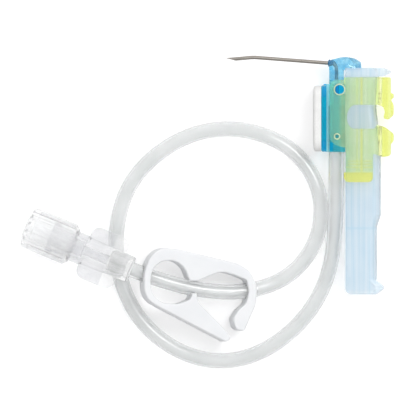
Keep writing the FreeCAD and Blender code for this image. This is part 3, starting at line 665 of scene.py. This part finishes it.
def connector_plastic():
    """Hard clear plastic, whiter over the socket that holds the tube's end: painted light."""
    finish = moulded("clear_hard", [(0.89, 0.893, 0.905), (0.82, 0.825, 0.84)], 0.08,
                     cloud=0.6, contrast=1.4, bump=0.05,
                     Transmission_Weight=0.8, IOR=1.32, Coat_Weight=0.6, Coat_Roughness=0.04)
    # Whiter along the socket round the tube's end: painted light
    along = finish.about(SOCKET_END, tuple(CAP_AXIS))[1]
    painted_socket_light = finish.share(finish.band(along, -0.2, SOCKET_DEPTH + 0.2), 0.8)
    finish.feed("Base Color", finish.blend(painted_socket_light, finish.colour, (1, 1, 1, 1)))
    finish.pass_light(0.8, finish.bonded())
    return finish.material


def cap_plastic():
    """Clear plastic with a lightly frosted skin."""
    finish = moulded("clear_frosted", [(0.99, 0.99, 0.995), (0.95, 0.955, 0.96)], 0.16,
                     cloud=0.9, contrast=1.6, bump=0.08,
                     Transmission_Weight=0.78, IOR=1.22, Coat_Weight=0.5, Coat_Roughness=0.06)
    finish.pass_light(0.85)
    return finish.material


def rim_highlight_plastic():
    """The bracket's plastic made milkier on a raised rim, so that it shows pale: painted highlight on the
    edges of the pin's hole and the rest ring.
    """
    finish = moulded("pale_rim", [(0.84, 0.95, 0.70), (0.78, 0.91, 0.60)], 0.25, cloud=1.2, bump=0.05,
                     Transmission_Weight=0.3, IOR=1.3)
    finish.pass_light(0.4)
    return finish.material


def glue_resin():
    """Dark blue glue, half clear."""
    finish = moulded("glue", [(0.02, 0.26, 0.48), (0.01, 0.18, 0.38)], 0.12, cloud=1.5, bump=0.03,
                     Transmission_Weight=0.35, IOR=1.5)
    return finish.material


def foam():
    """White closed foam with fine open pores on its cut face."""
    finish = moulded("white_foam", [(0.86, 0.86, 0.85), (0.80, 0.80, 0.79)], 0.75, cloud=0.3)
    pores = finish.nodes.new("ShaderNodeTexVoronoi")
    pores.feature = "F1"
    pores.inputs["Scale"].default_value = 3.2
    finish.links.new(finish.where, pores.inputs["Vector"])
    pit = finish.soft_step(pores.outputs["Distance"], 0.12, 0.5)
    finish.feed("Base Color", finish.blend(pit, (0.76, 0.76, 0.755, 1), finish.colour))
    finish.bump(finish.math("ADD", pit, finish.share(finish.height, 0.4)), 0.35, 0.08 * MM)
    return finish.material


# Extension tube

def tube_curve(name, radius):
    """The tube's line as a smooth curve through its route, with a round section."""
    data = bpy.data.curves.new(name, "CURVE")
    data.dimensions = "3D"
    data.resolution_u = 12
    data.bevel_depth = radius
    data.bevel_resolution = 10
    spline = data.splines.new("NURBS")
    spline.points.add(len(TUBE_ROUTE) - 1)
    for point, (x, y, z) in zip(spline.points, TUBE_ROUTE):
        point.co = (*from_hinge(x, y, z), 1)
    spline.order_u = 3
    spline.use_endpoint_u = True
    curve = bpy.data.objects.new(name, data)
    bpy.context.scene.collection.objects.link(curve)
    return curve


def extension_tube():
    """Clear hollow tube, its wall as thick as the real one's."""
    line = tube_curve("tube_line", 0)
    line_mesh = bpy.data.meshes.new_from_object(line.evaluated_get(bpy.context.evaluated_depsgraph_get()))
    path = [vertex.co.copy() for vertex in line_mesh.vertices]
    bpy.data.objects.remove(line)
    tube = tube_curve("extension_tube_line", TUBE_RADIUS)
    activate(tube)
    bpy.ops.object.convert(target="MESH")
    tube = bpy.context.object
    bpy.ops.object.mode_set(mode="EDIT")
    bpy.ops.mesh.select_all(action="SELECT")
    bpy.ops.mesh.normals_make_consistent(inside=False)
    bpy.ops.object.mode_set(mode="OBJECT")
    wall = tube.modifiers.new("wall", "SOLIDIFY")
    wall.thickness = TUBE_RADIUS - TUBE_BORE_RADIUS
    wall.offset = -1
    apply_modifiers(tube)
    bpy.ops.object.shade_smooth_by_angle(angle=math.radians(50))
    return tube, path


# Foam pad

def foam_pad():
    """Soft pad behind the wing plate: round corners, a soft rim and a slight crown towards the skin."""
    low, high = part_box("foam_pad")
    flat = low + Vector((PAD_RIM + sum(rise for step_in, rise in PAD_CROWN) * MM, 0, 0))
    bpy.ops.object.select_all(action="DESELECT")
    bpy.ops.mesh.primitive_cube_add(size=1, location=(flat + high) / 2, scale=high - flat)
    pad = bpy.context.object
    pad.name = "soft_pad"
    apply_place(pad)
    bpy.ops.object.mode_set(mode="EDIT")
    choose(pad, edges=lambda a, b: abs(a.x - b.x) > MM)
    bpy.ops.mesh.bevel(offset=PAD_CORNER, segments=12, affect="EDGES")
    choose(pad, faces=lambda face: face.normal.x < -0.9)
    for step in range(PAD_RIM_STEPS):
        begin, end = (math.radians(90 * (step + k) / PAD_RIM_STEPS) for k in (0, 1))
        bpy.ops.mesh.inset(thickness=PAD_RIM * (math.cos(begin) - math.cos(end)),
                           depth=PAD_RIM * (math.sin(end) - math.sin(begin)))
    for step_in, rise in PAD_CROWN:
        bpy.ops.mesh.inset(thickness=step_in * MM, depth=rise * MM)
    bpy.ops.object.mode_set(mode="OBJECT")
    bpy.ops.object.shade_smooth_by_angle(angle=math.radians(40))
    return pad


# Small pieces that the solids leave out

def glue_bead():
    """Glue that fills the well round the needle and stands a little proud of the hub's face."""
    bpy.ops.object.select_all(action="DESELECT")
    bpy.ops.mesh.primitive_cone_add(vertices=40, radius1=NEEDLE_RADIUS, radius2=GLUE_RADIUS,
                                    depth=GLUE_DEPTH)
    bead = bpy.context.object
    bead.name = "needle_glue"
    bpy.ops.object.mode_set(mode="EDIT")
    choose(bead, faces=lambda face: face.normal.z > 0.9)
    for step_in, rise in GLUE_CROWN:
        bpy.ops.mesh.inset(thickness=step_in * MM, depth=rise * MM)
    bpy.ops.object.mode_set(mode="OBJECT")
    way = Vector((-math.cos(NEEDLE_SLOPE), math.sin(NEEDLE_SLOPE), 0))
    turn = way.to_track_quat("Z", "Y").to_matrix().to_4x4()
    bead.matrix_world = Matrix.Translation(from_hinge(*EXIT_POINT) - way * (GLUE_DEPTH / 2)) @ turn
    apply_place(bead)
    bpy.ops.object.shade_smooth_by_angle(angle=math.radians(40))
    return bead


def cap_thread():
    """Thread inside the cap: one and a half turns of a fine ridge, shown through the clear wall."""
    bpy.ops.object.select_all(action="DESELECT")
    bpy.ops.mesh.primitive_circle_add(vertices=10, radius=THREAD_SECTION, fill_type="NOTHING",
                                      location=(THREAD_RADIUS, 0, 0), rotation=(math.pi / 2, 0, 0))
    thread = bpy.context.object
    thread.name = "cap_thread"
    apply_place(thread)
    turns = thread.modifiers.new("turns", "SCREW")
    turns.angle = THREAD_TURNS * 2 * math.pi
    turns.screw_offset = THREAD_TURNS * THREAD_PITCH
    turns.steps = turns.render_steps = 72
    turns.use_smooth_shade = True
    apply_modifiers(thread)
    bpy.ops.object.mode_set(mode="EDIT")
    bpy.ops.mesh.select_all(action="SELECT")
    bpy.ops.mesh.fill_holes(sides=0)
    bpy.ops.mesh.select_all(action="SELECT")
    bpy.ops.mesh.normals_make_consistent(inside=False)
    bpy.ops.object.mode_set(mode="OBJECT")
    start = from_hinge(*SOCKET_END) + CAP_AXIS * THREAD_START
    thread.matrix_world = Matrix.Translation(start) @ CAP_AXIS.to_track_quat("Z", "Y").to_matrix().to_4x4()
    apply_place(thread)
    return thread


def ear_rings():
    """Raised rims round the pin's hole and the small rest ring, on both ears of the bracket, pale with
    painted highlight.
    """
    low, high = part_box("guard_bracket")
    ear_half = high.z - HINGE.z - LIP_PROUD
    rims = (
        ("pin", (0.0, 0.0), PIN_RIM_RADIUS, 0.0),
        ("rest", REST_RING, REST_RIM_RADIUS, REST_RING_LIFT),
    )
    rings = []
    for side, sign in (("upper", 1), ("lower", -1)):
        for label, place, radius, lift in rims:
            bpy.ops.object.select_all(action="DESELECT")
            bpy.ops.mesh.primitive_torus_add(major_segments=56, minor_segments=14, major_radius=radius,
                                             minor_radius=RIM_THICKNESS, location=from_hinge(*place))
            ring = bpy.context.object
            ring.name = f"{label}_rim_{side}"
            ring.scale = (1, 1, 0.8)
            ring.location.z += sign * (ear_half + lift)
            apply_place(ring)
            bpy.ops.object.shade_smooth_by_angle(angle=math.radians(60))
            rings.append(ring)
    return rings


def dress(piece, material):
    """Gives a piece its one material."""
    piece.data.materials.clear()
    piece.data.materials.append(material)


# The scene

look_down()
studio_world()
pale_floor()
key_lamp()

tube, tube_path = extension_tube()
pad = foam_pad()
glue = glue_bead()
rings = ear_rings()
thread = cap_thread()

CLOUDING = clouding_group()
MOULD_SKIN = mould_skin_group()
DRAG_LINES = drag_lines_group()
BAND = band_group()

# Finishes

dress(tube, tube_vinyl())
dress(pad, foam())
dress(glue, glue_resin())
# The rims' pale plastic is painted highlight
rim_highlight_finish = rim_highlight_plastic()
for ring in rings:
    dress(ring, rim_highlight_finish)
dress(NODES["cannula"], drawn_steel())
dress(NODES["needle_hub"], hub_plastic())
dress(NODES["winged_base"], base_plastic())
dress(NODES["guard_bracket"], bracket_plastic())
dress(NODES["needle_guard"], guard_plastic())
dress(NODES["pinch_clamp"], clamp_plastic())
dress(NODES["luer_connector"], connector_plastic())
cap_finish = cap_plastic()
dress(NODES["luer_cap"], cap_finish)
dress(thread, cap_finish)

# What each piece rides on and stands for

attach(tube, "root")
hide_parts("extension_tube")
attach(pad, "root")
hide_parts("foam_pad")
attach(thread, "cap")
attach(glue, "root")
for ring in rings:
    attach(ring, "bracket")

bpy.context.scene.view_settings.view_transform = "Standard"
